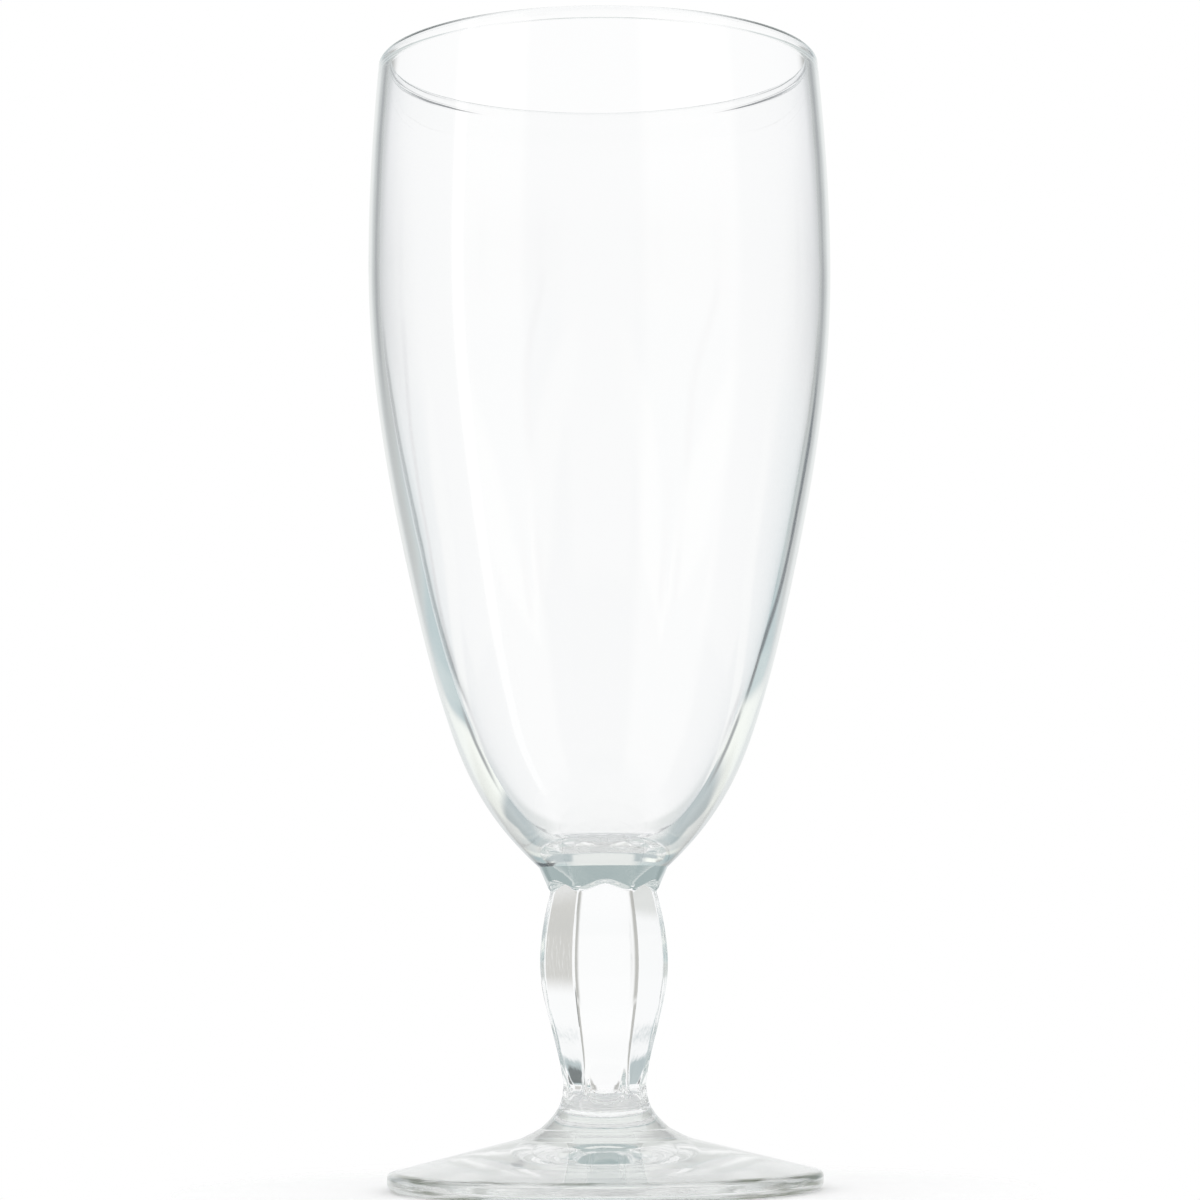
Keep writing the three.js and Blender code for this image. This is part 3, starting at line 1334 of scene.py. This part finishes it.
@dataclass(frozen=True)
class Surroundings:
    """What the glass shows of the studio: white panels with dark edges, as light meets them by each way out.

    The camera sees plain white. Most patches repeat on four sides, so that the glass looks much alike
    from each.

    Attributes:
        ambient: The light on the floor.
        two_walls: Surfaces passed above which light went through both walls of the bowl.
        solid: Straight through stem and foot.
        hollow: Straight through the bowl.
        caught: Turned back in stem and foot.
        veiled: Turned back in the bowl.
        inner: Mirrored by the inside of the bowl.
        mirrored: Mirrored by the outer surface.
        worn: Trapped until it gets out.
        roof: The ceiling, wherever light is turned back.
    """

    ambient: Colour = (0.93, 0.93, 0.93, 1)
    two_walls: float = 3.5
    solid: View = SolidView()
    hollow: View = HollowView()
    caught: View = CaughtView()
    veiled: View = VeiledView()
    inner: View = InnerView()
    mirrored: View = MirroredView()
    worn: View = WornView()
    roof: Patch = Patch(CEILING, loft=Span(42.5, soft=4.5))

    def build(self) -> None:
        """Builds the world, which tells apart the ways by which light leaves the glass."""
        world = bpy.data.worlds.new("studio")
        bpy.context.scene.world = world
        world.use_nodes = True
        graph = Graph(world.node_tree)
        sight = Sight(graph)
        path = graph.node("ShaderNodeLightPath")
        crossed = graph.value(path, "Transmission Depth")
        entered = graph.maths("MINIMUM", crossed, 1.0)
        hollow = graph.maths("GREATER_THAN", crossed, self.two_walls)
        turned = graph.maths("MINIMUM", graph.value(path, "Glossy Depth"), 1.0)
        scattered = graph.maths("MINIMUM", graph.value(path, "Diffuse Depth"), 1.0)
        past_floor = 1 - graph.maths("MINIMUM", graph.value(path, "Transparent Depth"), 1.0)
        trapped = graph.maths("GREATER_THAN", graph.value(path, "Ray Depth"), GlassFinish.leak)
        straight = graph.mix(hollow, self.solid.colour(sight), self.hollow.colour(sight, past=past_floor))
        caught = graph.mix(hollow, self.caught.colour(sight), self.veiled.colour(sight))
        passed = graph.mix(turned, straight, self.roof.over(sight, caught))
        inner = self.roof.over(sight, self.inner.colour(sight))
        mirrored = graph.mix(entered, self.mirrored.colour(sight), inner)
        shown = graph.mix(graph.value(path, "Is Glossy Ray"), self.ambient, mirrored)
        shown = graph.mix(graph.value(path, "Is Transmission Ray"), shown, passed)
        shown = graph.mix(trapped, shown, self.worn.colour(sight))
        shown = graph.mix(scattered, shown, self.ambient)
        shown = graph.mix(graph.value(path, "Is Camera Ray"), shown, WHITE)
        sky = graph.node("ShaderNodeBackground", inputs={"Color": shown, "Strength": 1.0})
        graph.node("ShaderNodeOutputWorld", inputs={"Surface": sky.outputs[0]})


@dataclass
class Studio:
    """Floor, surroundings, lamps and camera.

    Attributes:
        floor_size: Width of the floor, which ends outside its white part.
        floor_gap: Room between the floor and the foot.
        floor_colour: The floor's colour.
        floor_roughness: The floor's roughness.
        shadow_radius: Radius within which the floor shows in full.
        white_radius: Radius outside which only the background shows.
        surroundings: What the glass shows.
        softboxes: The lamps.
        camera_distance: How far in front of the axis the camera stands.
        camera_height: How high it stands.
        camera_side: How far to the right it stands.
        pitch: How far it is tipped up, in degrees.
        roll: How far it is turned about its line of sight, in degrees.
        lens: Its focal length in millimetres.
        sensor: The width of its sensor in millimetres.
        clip_start: The nearest distance that it sees.
        bounces: The most bounces of light in all.
        diffuse_bounces: The most between matt surfaces.
        glass_bounces: The most in and through glass.
    """

    floor_size: float = 0.64
    floor_gap: float = 0.1 * MM
    floor_colour: Colour = (0.95, 0.95, 0.95, 1)
    floor_roughness: float = 0.9
    shadow_radius: float = 0.037
    white_radius: float = 0.085
    surroundings: Surroundings = Surroundings()
    softboxes: tuple[Softbox, ...] = (
        Softbox(Side.LEFT, inner=35, outer=75),
        Softbox(Side.RIGHT, inner=20, outer=71),
    )
    camera_distance: float = 566.74 * MM
    camera_height: float = 35.67 * MM
    camera_side: float = -0.26 * MM
    pitch: float = 5.954
    roll: float = -0.37
    lens: float = 105.0
    sensor: float = 36.0
    clip_start: float = 0.01
    bounces: int = 40
    diffuse_bounces: int = 8
    glass_bounces: int = 32

    def paint(self) -> bpy.types.Material:
        """Builds matt paint that keeps the object's shadow and goes over into the white background.

        Returns:
            The floor's material.
        """
        made = bpy.data.materials.new("floor")
        made.use_nodes = True
        graph = Graph(made.node_tree)
        matt = graph.node(
            "ShaderNodeBsdfPrincipled",
            inputs={"Base Color": self.floor_colour, "Roughness": self.floor_roughness},
        )
        clear = graph.node("ShaderNodeBsdfTransparent")
        reach = graph.length(graph.node("ShaderNodeTexCoord").outputs["Object"])
        path = graph.node("ShaderNodeLightPath")
        seen = graph.value(path, "Is Camera Ray") + graph.value(path, "Is Glossy Ray")
        seen = graph.maths("MINIMUM", seen + graph.value(path, "Is Transmission Ray"), 1.0)
        far = graph.ramp(reach, self.shadow_radius, self.white_radius)
        mixed = graph.node(
            "ShaderNodeMixShader", inputs={0: far * seen, 1: matt.outputs[0], 2: clear.outputs[0]}
        )
        graph.node("ShaderNodeOutputMaterial", inputs={"Surface": mixed.outputs[0]})
        return made

    def floor(self) -> bpy.types.Object:
        """Builds the floor.

        Returns:
            The floor's object.
        """
        mesh = bmesh.new()
        bmesh.ops.create_grid(mesh, x_segments=1, y_segments=1, size=self.floor_size / 2)
        bmesh.ops.translate(mesh, verts=mesh.verts, vec=(0, 0, -self.floor_gap))
        data = bpy.data.meshes.new("floor")
        mesh.to_mesh(data)
        mesh.free()
        made = bpy.data.objects.new("floor", data)
        bpy.context.scene.collection.objects.link(made)
        data.materials.append(self.paint())
        return made

    def camera(self) -> None:
        """Places the camera low in front of the glass, tipped up."""
        data = bpy.data.cameras.new("camera")
        data.lens = self.lens
        data.sensor_width = self.sensor
        data.clip_start = self.clip_start
        made = bpy.data.objects.new("camera", data)
        bpy.context.scene.collection.objects.link(made)
        made.matrix_world = (
            Matrix.Translation((self.camera_side, -self.camera_distance, self.camera_height))
            @ Matrix.Rotation(math.radians(90 + self.pitch), 4, "X")
            @ Matrix.Rotation(math.radians(self.roll), 4, "Z")
        )
        bpy.context.scene.camera = made

    def settings(self) -> None:
        """Sets the view and as many bounces as thick glass needs."""
        scene = bpy.context.scene
        scene.view_settings.view_transform = "Standard"
        scene.cycles.max_bounces = self.bounces
        scene.cycles.diffuse_bounces = self.diffuse_bounces
        scene.cycles.glossy_bounces = self.glass_bounces
        scene.cycles.transmission_bounces = self.glass_bounces
        scene.cycles.transparent_max_bounces = self.glass_bounces

    def build(self) -> None:
        """Builds everything round the object."""
        self.floor()
        self.surroundings.build()
        for softbox in self.softboxes:
            softbox.build()
        self.camera()
        self.settings()


def main() -> None:
    """Builds the pieces in order, then the studio round them."""
    logging.basicConfig(level=logging.INFO, format="%(message)s")
    weld = WeldFinish().material()
    Foot().build(FootFinish(), weld)
    Stem().build(StemFinish(), weld)
    Bowl().build(BowlFinish(), weld)
    Studio().build()


if __name__ == "__main__":
    main()
